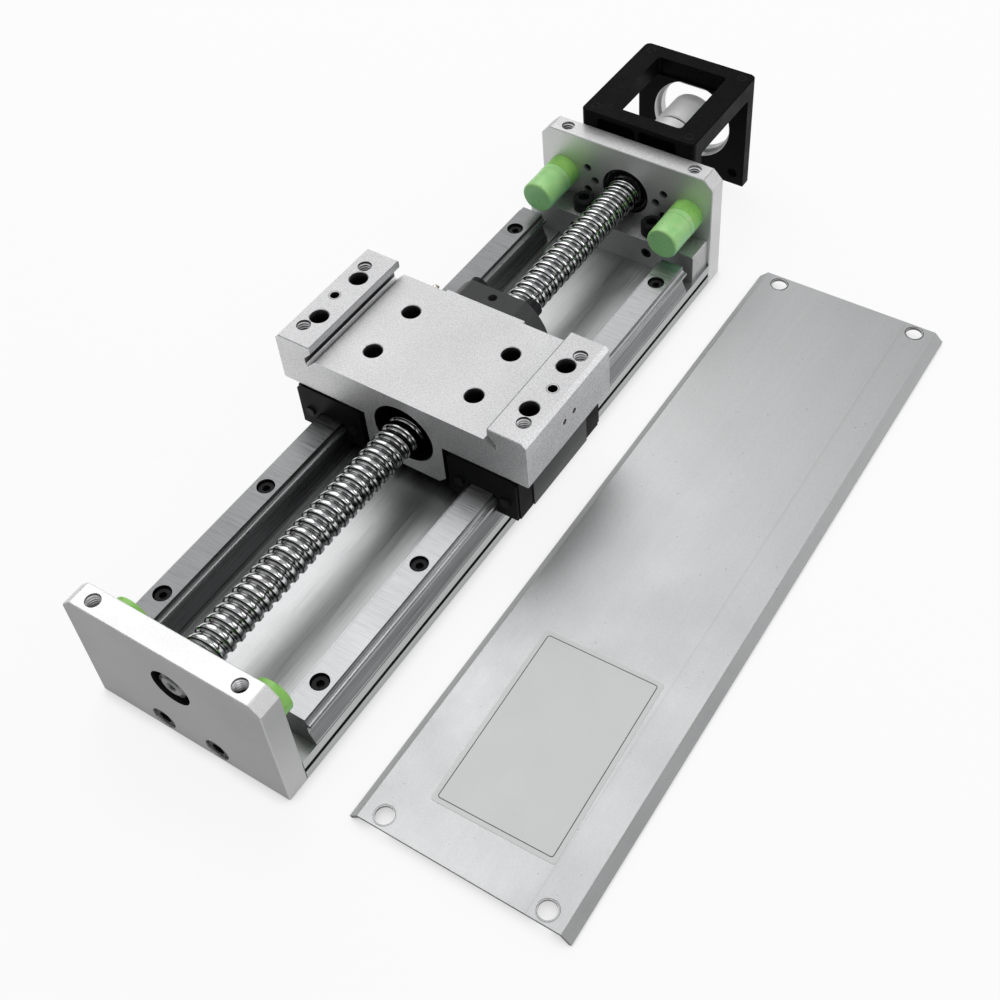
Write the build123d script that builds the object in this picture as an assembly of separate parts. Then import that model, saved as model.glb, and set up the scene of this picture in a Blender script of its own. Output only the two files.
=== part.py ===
from build123d import *
import os
from math import cos, radians, sin

# Linear sliding table: a ball screw drives a carriage along two profile rails on a flat base.
# X runs across the table, Y along it towards the motor end, Z up. The origin is on the
# underside, in the middle of the table between the outer faces of its two end plates.
# Lengths are in millimetres.

# Base and end plates
table_width = 90.0
base_length = 300.0
seat_height = 11.5
floor_height = 10.7
floor_margin = 1.5
edge_break = 0.5
plate_thickness = 10.0
plate_height = 59.2
plate_chamfer = 4.7
plate_edge = 0.35
screw_height = 37.0
slot_mouth = 2.3
slot_bottom = 4.7
slot_lip = 2.0
slot_depth = 4.6
slot_room = 5.0
bed_tap = 6.0
bed_tap_span_x = 52.0
bed_tap_inset = 30.0
bed_tap_depth = 8.0

# Fits
thread_gap = 0.05
running_gap = 0.3
ring_fit = 0.02
ball_gap = 0.1
clearance_hole = 0.25
counterbore_gap = 0.3
tap_overrun = 1.0

# Socket screws: a head is 1.5 times its shank and a little more, and as high as the shank is wide
head_extra = 1.0
key_loss = 1.0
rail_screw = 4.0
plate_screw = 6.0
support_screw = 6.0
cover_screw = 6.0
table_screw = 6.0
block_screw = 4.0
flange_screw = 5.0
bracket_screw = 4.0
motor_screw = 5.0
hub_screw = 2.5
grub_diameter = 5.0

# Rails
rail_clearance = 8.0
rail_width = 15.0
rail_height = 15.0
rail_pitch = 60.0
rail_end = 15.0
rail_top_flat = 10.3
rail_tip_top = 12.2
rail_tip_bottom = 11.2
rail_waist = 10.6
rail_waist_top = 8.4
rail_waist_bottom = 6.6
rail_foot = 1.4
rail_bore = 4.5
rail_counterbore = 7.5
rail_counterbore_depth = 5.3
rail_screw_length = 16.0

# Guide blocks
block_width = 34.0
block_height = 28.0
block_clear = 4.3
block_length = 61.4
block_steel = 39.4
block_pattern = 26.0
block_seal = 1.6
block_gap = 0.6
seal_gap = 0.3
block_chamfer = 1.2
cap_inset = 0.4
cap_chamfer = 2.2
cap_screw_span = 22.0
cap_screw_height = 13.5
cap_screw_shank = 2.5
cap_screw_head = 4.4
cap_screw_rise = 1.0
cap_screw_bite = 2.0
block_hole_depth = 6.0
guide_ball = 3.175
guide_ball_sink = 0.5
guide_row_length = 36.0

# Carriage plate
carriage_y = 5.9
carriage_length = 60.0
carriage_width = 119.6
plateau_height = 56.9
strip_rise = 6.7
strip_inner = 42.4
strip_chamfer = 1.8
cover_slot_rise = 3.3
cover_slot_band = 3.7
cover_slot_tip = 46.0
cover_slot_nose = 1.0
housing_width = 38.0
housing_bottom = 17.5
housing_chamfer = 3.5
housing_step = 1.4
block_screw_seat = 46.0
block_screw_bore = 8.0
bore_break = 0.3
block_screw_length = 12.0
tap_span_x = 105.4
tap_span_y = 40.5
tap_depth = 14.0
dowel_diameter = 4.0
dowel_depth = 8.0
flag_hole_diameter = 2.4
flag_hole_spacing = 6.9
flag_hole_height = 52.0
flag_hole_depth = 6.0

# Ball nut
nut_body = 28.0
nut_length = 50.0
flange_diameter = 48.0
flange_thickness = 10.0
flange_flat = 40.0
flange_circle = 38.0
flange_hole = 5.5
flange_screw_angle = 45.0
flange_screw_length = 18.0
oil_hole = 4.0
oil_hole_depth = 8.0
wiper_length = 3.0
wiper_inset = 0.5
wiper_outer = 21.0
wiper_clear = 0.35

# Ball screw and its bearings
screw_diameter = 15.5
front_journal = 10.0
front_journal_recess = 2.0
centre_hole = 3.2
centre_mouth = 4.8
centre_depth = 6.0
front_ring = 22.0
front_ring_width = 6.0
front_bore = 17.2
rear_journal = 12.0
rear_ring = 24.0
rear_ring_width = 6.0
rear_ring_depth = 2.0
ring_wall = 1.9
bearing_ball = 3.2
bearing_seal = 0.6
bearing_seal_inset = 0.2
circlip_width = 1.1
circlip_bore = 21.4
circlip_bite = 0.6
circlip_opening = 6.0
rear_collar = 14.8
lock_nut_diameter = 18.0
lock_nut_length = 6.0
lock_nut_bore = 20.0
lock_nut_notch = 3.0
lock_nut_notch_depth = 1.5
balls_per_ring = 11

# Coupling
coupling_diameter = 25.0
hub_length = 20.0
hub_gap = 1.0
coupling_gap = 6.0
shaft_end = 10.0
motor_shaft = 8.0
shaft_reach = 16.5
spider_diameter = 18.0
spider_core = 12.0
spider_arm = 5.0
spider_thickness = 6.0
spider_gap = 0.1
coupling_turn = 150.0
hub_slit = 1.2
hub_screw_offset = 8.2
hub_screw_inset = 6.0
hub_screw_seat = 4.0
hub_screw_length = 12.0

# Motor bracket
bracket_width = 59.0
bracket_length = 62.0
bracket_height = 60.0
bracket_wall = 8.0
bracket_roof = 9.0
bracket_fillet = 2.0
bracket_corner = 3.0
window_width = 36.5
window_margin = 0.5
pilot_diameter = 38.2
pilot_depth = 4.0
pilot_relief = 41.0
motor_bolt_spacing = 47.14
bracket_screw_span = 40.4
bracket_screw_rise = 6.2
bracket_screw_side = 32.4
bracket_screw_length = 16.0
recess_top = 65.0
recess_bottom = 50.0
recess_reach = 20.5
recess_rib = 2.0
recess_depth = 4.0

# Support block in front of the rear plate
support_width = 87.4
support_depth = 14.0
support_top = 25.8
support_screw_span = 36.4
support_screw_setback = 7.0
support_screw_length = 20.0
grub_span = 38.6
grub_height = 18.6
grub_length = 3.4

# Bumpers
bumper_span = 66.0
bumper_height = 37.5
bumper_diameter = 15.5
bumper_base = 7.5
bumper_tip = 17.0
bumper_collar = 3.0
bumper_step = 0.15
bumper_stud = 4.0
bumper_stud_length = 6.0

# Screws in the end plates
plate_screw_span = 25.4
rear_screw_span = 72.0
plate_screw_height = 6.1
plate_screw_length = 16.0
plate_screw_seat = 3.4
cover_tap_span = 66.4
cover_tap_depth = 12.0

# Cover plate, lying beside the table
cover_thickness = 1.2
cover_flat = 82.6
cover_flange = 3.95
cover_hole = 7.0
cover_x = 112.1
cover_y = 6.5
cover_turn = 0.5

# Grease nipple in the carriage plate's rear face
nipple_x = -28.0
nipple_z = 51.5
nipple_thread = 4.0
nipple_thread_length = 5.0
nipple_hex = 5.0
nipple_hex_length = 2.0
nipple_tip = 3.0
nipple_tip_length = 3.6

# Places that follow from the sizes above
half_base = base_length / 2
half_table = half_base + plate_thickness
rail_x = (table_width - rail_width) / 2
strip_height = plateau_height + strip_rise
cover_slot_top = plateau_height + cover_slot_rise
rail_length = base_length - support_depth - 2 * rail_clearance
rail_y = -support_depth / 2
rail_top = seat_height + rail_height
block_top = seat_height + block_height
rail_hole_count = int((rail_length - 2 * rail_end) // rail_pitch) + 1
bracket_back = half_table + bracket_length
bracket_top = screw_height + bracket_height / 2
support_front = half_base - support_depth
flange_front = carriage_y + carriage_length / 2 + housing_step
nut_front = flange_front - (nut_length - flange_thickness)
flange_back = flange_front + flange_thickness
rear_ring_start = half_base + rear_ring_depth
lock_nut_front = rear_ring_start + 2 * rear_ring_width
lock_nut_back = lock_nut_front + lock_nut_length
bracket_wall_back = half_table + bracket_wall
coupling_y = lock_nut_back + coupling_gap
coupling_back = coupling_y + 2 * hub_length + hub_gap
cap_length = (block_length - block_steel) / 2 - block_seal
flange_bite = flange_screw_length - flange_thickness
spider_middle = coupling_y + hub_length + hub_gap / 2
block_screw_x = (rail_x - block_pattern / 2, rail_x + block_pattern / 2)


def along_y(face, y_from, y_to):
    """Extrude a face drawn in X and Z from one place along the table to another."""
    return extrude(Plane.XZ.offset(-y_from) * face, amount=y_to - y_from, dir=(0, 1, 0))


def rod_y(radius, y_from, y_to, x=0.0, z=screw_height):
    """Round bar along the table, on the screw's axis unless told otherwise."""
    return Pos(x, (y_from + y_to) / 2, z) * Rot(90, 0, 0) * Cylinder(radius, y_to - y_from)


def rod_z(radius, z_from, z_to, x, y):
    """Upright round bar."""
    return Pos(x, y, (z_from + z_to) / 2) * Cylinder(radius, z_to - z_from)


def ring_y(outer, inner, y_from, y_to):
    """Ring around the screw's axis, given by its two diameters."""
    return rod_y(outer / 2, y_from, y_to) - rod_y(inner / 2, y_from, y_to)


def bore_mouth(radius, x, y, top):
    """Cone that breaks the edge of an upright hole's mouth."""
    return Pos(x, y, top - bore_break / 2) * Cone(radius, radius + bore_break, bore_break)


def outline(*points):
    """Face in X and Z through the points given."""
    return make_face(Polyline(*points, close=True))


def half_outline(*points):
    """Face in X and Z from the points of its right half, listed from the bottom up."""
    return outline(*points, *[(-x, z) for x, z in reversed(points)])


def group(shapes):
    """Several separate solids as one node."""
    return Compound([solid for shape in shapes for solid in shape.solids()])


def both_sides(x):
    """The same distance on the left and on the right."""
    return (-x, x)


def head_radius(shank):
    """Radius of a socket screw's head."""
    return (1.5 * shank + head_extra) / 2


def socket_screw(shank, length):
    """Socket head screw along Z, its head standing on the origin and its shank below."""
    body = Pos(0, 0, shank / 2) * Cylinder(head_radius(shank), shank)
    body = chamfer(body.edges().group_by(Axis.Z)[-1], shank * 0.08)
    hexagon = RegularPolygon((shank - key_loss) / 2, 6, major_radius=False)
    socket = extrude(Plane.XY.offset(shank * 0.45) * hexagon, shank)
    return body - socket + Pos(0, 0, -length / 2) * Cylinder(shank / 2, length)


def grub_screw(shank, length):
    """Headless screw along Z with its socket at the origin and its body below."""
    socket = extrude(RegularPolygon(shank / 4, 6, major_radius=False), -length / 2)
    return Pos(0, 0, -length / 2) * Cylinder(shank / 2, length) - socket


def tap(shank):
    """Radius of a threaded hole for a screw of this shank."""
    return shank / 2 + thread_gap


facing_front = Rot(90, 0, 0)
facing_back = Rot(-90, 0, 0)


def rail_face():
    """Profile of a rail without its ball grooves: flat top, tip, waist and foot."""
    half = rail_width / 2
    waist = rail_waist / 2
    return half_outline(
        (half - edge_break, 0),
        (half, edge_break),
        (half, rail_foot),
        (waist, rail_waist_bottom),
        (waist, rail_waist_top),
        (half, rail_tip_bottom),
        (half, rail_tip_top),
        (rail_top_flat / 2, rail_height),
    )


def ball_places():
    """Centres of the four ball rows, seen along a rail that stands at the origin."""
    half = rail_width / 2
    upper_x = (half + rail_top_flat / 2) / 2 + guide_ball_sink
    upper_z = (rail_height + rail_tip_top) / 2 + guide_ball_sink
    lower_x = (half + rail_waist / 2) / 2 + guide_ball_sink
    lower_z = (rail_tip_bottom + rail_waist_top) / 2 - guide_ball_sink
    return [(side * x, z) for side in (-1, 1) for x, z in ((upper_x, upper_z), (lower_x, lower_z))]


def ball_grooves():
    """Round sections of the ball rows, cut from the rail and from the guide block alike."""
    return [Pos(x, z) * Circle(guide_ball / 2 + ball_gap) for x, z in ball_places()]


def rail_hole_places():
    """Places of the rail's screws along the table."""
    first = rail_y - rail_length / 2 + rail_end
    return [first + rail_pitch * number for number in range(rail_hole_count)]


def base_outline():
    """Profile of the base: rail seats, the lower floor between them and a slot in each side."""
    half = table_width / 2
    floor = rail_x - rail_width / 2 - floor_margin
    face = half_outline(
        (half - edge_break, 0),
        (half, edge_break),
        (half, seat_height),
        (floor, seat_height),
        (floor, floor_height),
    )
    middle = slot_bottom + slot_mouth / 2
    room = slot_depth - slot_lip
    for side in (-1, 1):
        face -= Pos(side * (half - slot_lip / 2), middle) * Rectangle(slot_lip, slot_mouth)
        face -= Pos(side * (half - slot_lip - room / 2), middle) * Rectangle(room, slot_room)
    return face


def base_extrusion():
    """Base with tapped holes for the rails, end plates, support block and a machine bed."""
    body = along_y(base_outline(), -half_base, half_base)
    rail_bite = rail_screw_length - (rail_height - rail_counterbore_depth)
    rail_tap_bottom = seat_height - rail_bite - tap_overrun
    for x in both_sides(rail_x):
        for y in rail_hole_places():
            body -= rod_z(tap(rail_screw), rail_tap_bottom, seat_height, x, y)
    end_bite = plate_screw_length - plate_screw_seat + tap_overrun
    for x in both_sides(plate_screw_span / 2):
        body -= rod_y(tap(plate_screw), -half_base, -half_base + end_bite, x, plate_screw_height)
    for x in both_sides(rear_screw_span / 2):
        body -= rod_y(tap(plate_screw), half_base - end_bite, half_base, x, plate_screw_height)
    support_tip = support_top - support_screw_length - tap_overrun
    support_y = support_front + support_screw_setback
    for x in both_sides(support_screw_span / 2):
        body -= rod_z(tap(support_screw), support_tip, seat_height, x, support_y)
    for x in both_sides(bed_tap_span_x / 2):
        for y in both_sides(half_base - bed_tap_inset):
            body -= rod_z(bed_tap / 2, 0, bed_tap_depth, x, y)
    return body


def rail(x):
    """Profile rail on its seat, with counterbored screw holes."""
    y_from = rail_y - rail_length / 2
    face = rail_face()
    for groove in ball_grooves():
        face -= groove
    body = along_y(face, y_from, y_from + rail_length)
    for y in rail_hole_places():
        body -= rod_z(rail_bore / 2, 0, rail_height, 0, y)
        body -= rod_z(rail_counterbore / 2, rail_height - rail_counterbore_depth, rail_height, 0, y)
    return Pos(x, 0, seat_height) * body


def rail_screws():
    """Socket screws in every rail hole."""
    seat = rail_top - rail_counterbore_depth
    screw = socket_screw(rail_screw, rail_screw_length)
    return group([Pos(x, y, seat) * screw for x in both_sides(rail_x) for y in rail_hole_places()])


def end_plate(outer, inner, screw_span):
    """Upright plate between two places along the table; outer is its face away from the middle."""
    top = plate_height - plate_chamfer
    side = table_width / 2
    face = half_outline((side, 0), (side, top), (side - plate_chamfer, plate_height))
    body = along_y(face, min(outer, inner), max(outer, inner))
    body = chamfer(body.edges(), plate_edge)
    inward = 1 if inner > outer else -1
    seat = inner - inward * plate_screw_seat
    hole = plate_screw / 2 + clearance_hole
    counterbore = head_radius(plate_screw) + counterbore_gap
    for x in both_sides(screw_span / 2):
        body -= rod_y(hole, min(outer, inner), max(outer, inner), x, plate_screw_height)
        body -= rod_y(counterbore, min(outer, seat), max(outer, seat), x, plate_screw_height)
    for x in both_sides(cover_tap_span / 2):
        middle = (outer + inner) / 2
        body -= rod_z(tap(cover_screw), plate_height - cover_tap_depth, plate_height, x, middle)
    stud_end = inner - inward * (bumper_stud_length + tap_overrun)
    for x in both_sides(bumper_span / 2):
        hole = bumper_stud / 2 + thread_gap
        body -= rod_y(hole, min(inner, stud_end), max(inner, stud_end), x, bumper_height)
    return body


def front_plate():
    """Front end plate: the bearing's pocket opens inwards and a smaller bore shows the journal."""
    body = end_plate(-half_table, -half_base, plate_screw_span)
    body -= rod_y(front_bore / 2, -half_table, -half_base)
    body -= rod_y(front_ring / 2 + ring_fit, -half_base - front_ring_width, -half_base)
    return body


def rear_plate():
    """Rear end plate: bore for the bearing pair, a circlip groove and the bracket's tapped holes."""
    body = end_plate(half_table, half_base, rear_screw_span)
    body -= rod_y(rear_ring / 2 + ring_fit, half_base, half_table)
    body -= rod_y(rear_ring / 2 + circlip_bite, rear_ring_start - circlip_width, rear_ring_start)
    for x, z in bracket_screw_places():
        body -= rod_y(tap(bracket_screw), half_base, half_table, x, z)
    for x in both_sides(bracket_screw_side / 2):
        body -= rod_y(tap(bracket_screw), half_base, half_table, x, screw_height)
    return body


def plate_screws(outer_direction, screw_span):
    """Two socket screws from an end plate into the base; the direction is -1 at the front."""
    seat = half_base + plate_screw_seat
    turn = facing_front if outer_direction < 0 else facing_back
    screw = turn * socket_screw(plate_screw, plate_screw_length)
    places = both_sides(screw_span / 2)
    return group([Pos(x, outer_direction * seat, plate_screw_height) * screw for x in places])


def bumpers_at(inner, direction):
    """Two bumper discs against an end plate's inner face, each with its stud in the plate."""
    pair = []
    for x in both_sides(bumper_span / 2):
        tip = inner - direction * bumper_base
        stud = inner + direction * bumper_stud_length
        disc = rod_y(bumper_diameter / 2, min(inner, tip), max(inner, tip), x, bumper_height)
        end = disc.edges().filter_by(GeomType.CIRCLE).sort_by(Axis.Y)[0 if direction > 0 else -1]
        disc = chamfer(end, edge_break)
        pair.append(disc + rod_y(bumper_stud / 2, min(inner, stud), max(inner, stud), x, bumper_height))
    return group(pair)


def bumper_tips():
    """Soft tips on the two rear bumpers: a collar and a slightly slimmer body."""
    start = half_base - bumper_base
    pair = []
    for x in both_sides(bumper_span / 2):
        radius = bumper_diameter / 2
        tip = rod_y(radius - bumper_step, start - bumper_tip, start - bumper_collar, x, bumper_height)
        end = tip.edges().filter_by(GeomType.CIRCLE).sort_by(Axis.Y)[0]
        tip = fillet(end, 2 * edge_break)
        pair.append(tip + rod_y(radius, start - bumper_collar, start, x, bumper_height))
    return group(pair)


def support_block():
    """Low block across the base in front of the rear plate, screwed down onto floor and seats."""
    half = support_width / 2
    floor = rail_x - rail_width / 2 - floor_margin - running_gap
    face = half_outline(
        (floor, floor_height),
        (floor, seat_height),
        (half, seat_height),
        (half, support_top - edge_break),
        (half - edge_break, support_top),
    )
    body = along_y(face, support_front, half_base)
    for x in both_sides(support_screw_span / 2):
        y = support_front + support_screw_setback
        body -= rod_z(support_screw / 2 + clearance_hole, floor_height, support_top, x, y)
    for x in both_sides(grub_span / 2):
        grub_end = support_front + grub_length
        body -= rod_y(tap(grub_diameter), support_front, grub_end, x, grub_height)
    return body


def support_block_screws():
    """Upright socket screws whose heads stand on top of the support block."""
    screw = socket_screw(support_screw, support_screw_length)
    y = support_front + support_screw_setback
    return group([Pos(x, y, support_top) * screw for x in both_sides(support_screw_span / 2)])


def support_block_grub_screws():
    """Headless screws flush in the support block's face."""
    screw = facing_front * grub_screw(grub_diameter, grub_length)
    return group([Pos(x, support_front, grub_height) * screw for x in both_sides(grub_span / 2)])


def bearing_rings(outer, inner, width, starts):
    """Outer rings, inner rings and balls of the bearings that start at the places given."""
    middle = (outer + inner) / 4
    groove_radius = bearing_ball / 2 + ball_gap
    outers, inners, balls = [], [], []
    for start in starts:
        centre = Pos(0, start + width / 2, screw_height) * Rot(90, 0, 0)
        groove = centre * Torus(middle, groove_radius)
        outers.append(ring_y(outer, outer - 2 * ring_wall, start, start + width) - groove)
        inners.append(ring_y(inner + 2 * ring_wall, inner + 2 * ring_fit, start, start + width) - groove)
        ball = Sphere(bearing_ball / 2)
        for number in range(balls_per_ring):
            angle = radians(360 / balls_per_ring * number)
            place = Pos(middle * cos(angle), start + width / 2, screw_height + middle * sin(angle))
            balls.append(place * ball)
    return group(outers), group(inners), group(balls)


def bearing_seals(outer, inner, width, starts):
    """Thin seals in both faces of the bearings that start at the places given."""
    bore = inner + 2 * ring_wall + 2 * running_gap
    seals = []
    for start in starts:
        first = start + bearing_seal_inset
        last = start + width - bearing_seal_inset - bearing_seal
        for place in (first, last):
            seals.append(ring_y(outer - 2 * ring_wall, bore, place, place + bearing_seal))
    return group(seals)


def rear_retaining_ring():
    """Circlip in the rear plate's groove, open at the bottom."""
    y_to = rear_ring_start
    y_from = y_to - circlip_width
    body = ring_y(rear_ring + 2 * (circlip_bite - ring_fit), circlip_bore, y_from, y_to)
    slit = Pos(0, (y_from + y_to) / 2, screw_height - rear_ring / 2)
    return body - slit * Box(circlip_opening, circlip_width, rear_ring / 2)


def ball_screw():
    """Ball screw with its journals; the thread's grooves run between the two end plates."""
    body = rod_y(screw_diameter / 2, -half_base, half_base)
    body += rod_y(front_journal / 2, -half_table + front_journal_recess, -half_base)
    body += rod_y(rear_collar / 2, half_base, rear_ring_start)
    body += rod_y(rear_journal / 2, rear_ring_start, lock_nut_back)
    body += rod_y(shaft_end / 2, lock_nut_back, coupling_y + shaft_reach)
    ends = body.edges().filter_by(GeomType.CIRCLE).sort_by(Axis.Y)
    body = chamfer([ends[0], ends[-1]], edge_break)
    tip = -half_table + front_journal_recess
    body -= rod_y(centre_hole / 2, tip, tip + centre_depth)
    slope = (centre_mouth - centre_hole) / 2
    mouth = Pos(0, tip + slope / 2, screw_height) * facing_back
    return body - mouth * Cone(centre_mouth / 2, centre_hole / 2, slope)


def lock_nut():
    """Round nut that clamps the rear bearing's inner rings, with four notches for a wrench."""
    body = ring_y(lock_nut_diameter, rear_journal + 2 * thread_gap, lock_nut_front, lock_nut_back)
    notch = Pos(0, lock_nut_back - lock_nut_notch / 2, lock_nut_diameter / 2)
    notch *= Box(lock_nut_notch, lock_nut_notch, 2 * lock_nut_notch_depth)
    for number in range(4):
        body -= Pos(0, 0, screw_height) * Rot(0, 90 * number, 0) * notch
    return body


def coupling_hub(start, spider_side, bore):
    """Coupling hub with a clamp slit at its free end and a recess for the spider at the other."""
    end = start + hub_length
    body = rod_y(coupling_diameter / 2, start, end)
    rims = body.edges().filter_by(GeomType.CIRCLE)
    body = chamfer(rims, edge_break)
    body -= rod_y(bore / 2 + ring_fit, start, end)
    free, inward = (start, 1) if spider_side > 0 else (end, -1)
    recess = (spider_thickness - hub_gap) / 2
    deep = end if spider_side > 0 else start
    body -= spider_shape(deep - inward * recess, deep, spider_gap)
    screw_y = free + inward * hub_screw_inset
    slit_end = free + inward * 2 * hub_screw_inset
    middle = (free + slit_end) / 2
    reach = coupling_diameter / 2
    body -= Pos(0, middle, screw_height + reach / 2) * Box(hub_slit, 2 * hub_screw_inset, reach)
    body -= hub_screw_room(screw_y)
    return turned(body)


def hub_screw_room(y):
    """Hole and counterbore for a hub's clamp screw, across the slit."""
    z = screw_height + hub_screw_offset
    reach = coupling_diameter / 2
    hole = Pos(0, y, z) * Rot(0, 90, 0) * Cylinder(tap(hub_screw), 2 * reach)
    room = Pos((hub_screw_seat + reach) / 2, y, z) * Rot(0, 90, 0)
    return hole + room * Cylinder(head_radius(hub_screw) + clearance_hole, reach - hub_screw_seat)


def turned(shape):
    """The shape turned about the screw's axis to the coupling's position at rest."""
    return Pos(0, 0, screw_height) * Rot(0, coupling_turn, 0) * Pos(0, 0, -screw_height) * shape


def spider_shape(y_one, y_two, grow):
    """Cross with a round core, between two places along the axis."""
    y_from, y_to = min(y_one, y_two), max(y_one, y_two)
    face = Circle(spider_core / 2 + grow)
    face += Rectangle(spider_diameter + 2 * grow, spider_arm + 2 * grow)
    face += Rectangle(spider_arm + 2 * grow, spider_diameter + 2 * grow)
    return Pos(0, 0, screw_height) * along_y(face, y_from, y_to)


def coupling_spider():
    """Elastic cross between the two hubs."""
    half = spider_thickness / 2
    return turned(spider_shape(spider_middle - half, spider_middle + half, 0))


def coupling_clamp_screws():
    """One clamp screw across the slit of each hub."""
    screw = Rot(0, 90, 0) * socket_screw(hub_screw, hub_screw_length)
    free_ends = (coupling_y + hub_screw_inset, coupling_back - hub_screw_inset)
    z = screw_height + hub_screw_offset
    return group([turned(Pos(hub_screw_seat, y, z) * screw) for y in free_ends])


def bracket_screw_places():
    """Places of the four screws that hold the motor bracket on the rear plate."""
    spread = both_sides(bracket_screw_rise)
    return [(x, screw_height + rise) for x in both_sides(bracket_screw_span / 2) for rise in spread]


def motor_bracket():
    """Bridge with a front wall, a roof with a window and a rear wall that carries the motor."""
    side = Rectangle(bracket_length, bracket_height)
    room = Rectangle(bracket_length - 2 * bracket_wall, bracket_height - bracket_roof)
    room = fillet(room.vertices().group_by(Axis.Y)[-1], bracket_fillet)
    side -= Pos(0, -bracket_roof / 2) * room
    middle = half_table + bracket_length / 2
    body = Pos(0, middle, screw_height) * extrude(Plane.YZ * side, bracket_width / 2, both=True)
    corners = body.edges().filter_by(Axis.Z).filter_by(lambda edge: edge.length > bracket_height * 0.9)
    body = fillet(corners, bracket_corner)
    body = chamfer(body.faces().sort_by(Axis.Z)[-1].outer_wire().edges(), edge_break)
    window = bracket_length - 2 * bracket_wall - 2 * window_margin
    opening = Rectangle(window_width, window)
    opening = fillet(opening.vertices(), bracket_fillet)
    body -= Pos(0, middle, bracket_top - bracket_roof) * extrude(opening, bracket_roof)
    reach = recess_reach - recess_rib / 2
    for side_sign in (-1, 1):
        x = side_sign * (recess_reach + recess_rib / 2) / 2
        recess = fillet(Rectangle(reach, recess_top - recess_bottom).vertices(), bracket_fillet)
        recess = Pos(x, (recess_top + recess_bottom) / 2) * recess
        body -= along_y(recess, half_table, half_table + recess_depth)
    body -= rod_y(rear_ring / 2 + ring_fit, half_table, lock_nut_front)
    body -= rod_y(lock_nut_bore / 2, lock_nut_front, bracket_wall_back)
    for x, z in bracket_screw_places():
        body -= rod_y(bracket_screw / 2 + clearance_hole, half_table, bracket_wall_back, x, z)
    wall_front = bracket_back - bracket_wall
    body -= rod_y(pilot_diameter / 2, bracket_back - pilot_depth, bracket_back)
    body -= rod_y(pilot_relief / 2, wall_front, bracket_back - pilot_depth)
    for x in both_sides(motor_bolt_spacing / 2):
        for rise in both_sides(motor_bolt_spacing / 2):
            body -= rod_y(tap(motor_screw), wall_front, bracket_back, x, screw_height + rise)
    return body


def bracket_screws():
    """Socket screws from inside the bracket into the rear plate."""
    screw = facing_back * socket_screw(bracket_screw, bracket_screw_length)
    return group([Pos(x, bracket_wall_back, z) * screw for x, z in bracket_screw_places()])


def carriage_outline():
    """Profile of the carriage plate: underside, raised side strips and the slanted cover slots."""
    half = carriage_width / 2
    upper = strip_inner + cover_slot_top
    lower = upper - cover_slot_band * 2 ** 0.5
    tip = cover_slot_tip
    return half_outline(
        (half - edge_break, block_top),
        (half, block_top + edge_break),
        (half, strip_height - strip_chamfer),
        (half - strip_chamfer, strip_height),
        (strip_inner, strip_height),
        (strip_inner, cover_slot_top),
        (tip, upper - tip),
        (tip, lower - tip + 2 * cover_slot_nose),
        (tip - cover_slot_nose, lower - tip + cover_slot_nose),
        (lower - plateau_height, plateau_height),
    )


def carriage_plate():
    """Carriage plate with the nut housing below it, and all its holes."""
    front = carriage_y - carriage_length / 2
    back = carriage_y + carriage_length / 2
    half = housing_width / 2
    corner = half - housing_chamfer
    shoulder = housing_bottom + housing_chamfer
    housing = half_outline((corner, housing_bottom), (half, shoulder), (half, block_top))
    boss = half_outline((corner, housing_bottom), (half, shoulder), (half, plateau_height))
    body = along_y(carriage_outline(), front, back)
    body += along_y(housing, front, back)
    body += along_y(boss, back - housing_step, flange_front)
    bore = nut_body / 2 + ball_gap
    body -= rod_y(bore, front, flange_front)
    mouth = Pos(0, front + edge_break / 2, screw_height) * facing_back
    body -= mouth * Cone(bore + edge_break, bore, edge_break)
    body = chamfer(body.edges().filter_by(Axis.X).group_by(Axis.Z)[-1], plate_edge)
    for offset_y in both_sides(block_pattern / 2):
        y = carriage_y + offset_y
        for reach in block_screw_x:
            for x in both_sides(reach):
                body -= rod_z(block_screw / 2 + clearance_hole, block_top, strip_height, x, y)
                body -= rod_z(block_screw_bore / 2, block_screw_seat, strip_height, x, y)
                top = strip_height if reach > strip_inner else plateau_height
                body -= bore_mouth(block_screw_bore / 2, x, y, top)
    for x in both_sides(tap_span_x / 2):
        body -= rod_z(dowel_diameter / 2, strip_height - dowel_depth, strip_height, x, carriage_y)
        for offset_y in both_sides(tap_span_y / 2):
            y = carriage_y + offset_y
            body -= rod_z(tap(table_screw), strip_height - tap_depth, strip_height, x, y)
    flag_x = (carriage_width - flag_hole_depth) / 2
    flag_hole = Rot(0, 90, 0) * Cylinder(flag_hole_diameter / 2, flag_hole_depth)
    for offset_y in both_sides(flag_hole_spacing / 2):
        body -= Pos(flag_x, carriage_y + offset_y, flag_hole_height) * flag_hole
    for x, z in flange_screw_places():
        body -= rod_y(tap(flange_screw), flange_front - flange_bite - tap_overrun, flange_front, x, z)
    body -= rod_y(tap(nipple_thread), back - nipple_thread_length, back, nipple_x, nipple_z)
    return body


def carriage_screws():
    """Socket screws deep in the carriage plate, into the guide blocks."""
    screw = socket_screw(block_screw, block_screw_length)
    rows = both_sides(block_pattern / 2)
    places = [(x, row) for reach in block_screw_x for x in both_sides(reach) for row in rows]
    return group([Pos(x, carriage_y + row, block_screw_seat) * screw for x, row in places])


def block_outline(inset, corner):
    """Outer profile of a guide block on a rail at the origin, without the rail's channel."""
    half = block_width / 2 - inset
    bottom = block_clear + inset
    top = block_height - inset
    return half_outline((half, bottom), (half, top - corner), (half - corner, top))


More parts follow.
